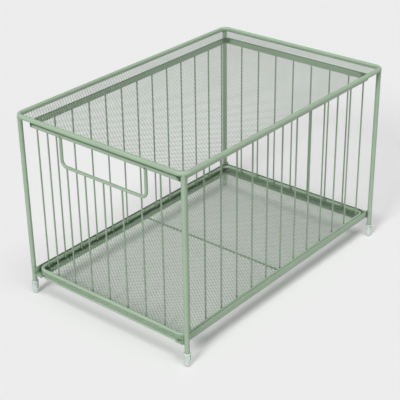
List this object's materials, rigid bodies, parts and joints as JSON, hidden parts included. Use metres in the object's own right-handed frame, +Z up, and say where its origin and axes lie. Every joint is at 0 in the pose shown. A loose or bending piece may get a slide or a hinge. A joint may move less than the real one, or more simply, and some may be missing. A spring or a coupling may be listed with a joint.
{
  "type": "stackable storage drawer",
  "caption": "Stackable wire storage drawer with a mesh tray that slides out of an open steel frame on folded runners.",
  "frame": {"origin": "on the floor, under the middle of the frame", "axes": "+X to the right across the front, +Y from the front to the back, so the drawer opens towards -Y, +Z up"},
  "size_m": [0.2638, 0.3978, 0.248],
  "materials": {
    "frame_coat": "satin sage green powder coat",
    "drawer_coat": "satin sage green powder coat",
    "mesh_coat": "satin sage green powder coat on expanded metal",
    "foot_plastic": "clear, slightly green soft plastic"
  },
  "bodies": {
    "frame": {"top_rim": "frame_coat", "top_mesh": "mesh_coat", "post_front_left": "frame_coat", "post_front_right": "frame_coat", "post_back_left": "frame_coat", "post_back_right": "frame_coat", "foot_front_left": "foot_plastic", "foot_front_right": "foot_plastic", "foot_back_left": "foot_plastic", "foot_back_right": "foot_plastic", "runner_left": "frame_coat", "runner_right": "frame_coat", "back_stop": "frame_coat", "front_tie": "frame_coat", "floor_support_wire": "frame_coat"},
    "drawer": {"drawer_bottom_ring": "drawer_coat", "drawer_top_bar": "drawer_coat", "handle": "drawer_coat", "front_wires": "drawer_coat", "back_wires": "drawer_coat", "left_wires": "drawer_coat", "right_wires": "drawer_coat", "tray_floor": "mesh_coat", "tray_wall": "mesh_coat"}
  },
  "joints": [
    {"name": "drawer_slide", "type": "slide", "parent": "frame", "child": "drawer", "axis": [0, -1, 0], "range_m": [0, 0.3]}
  ]
}
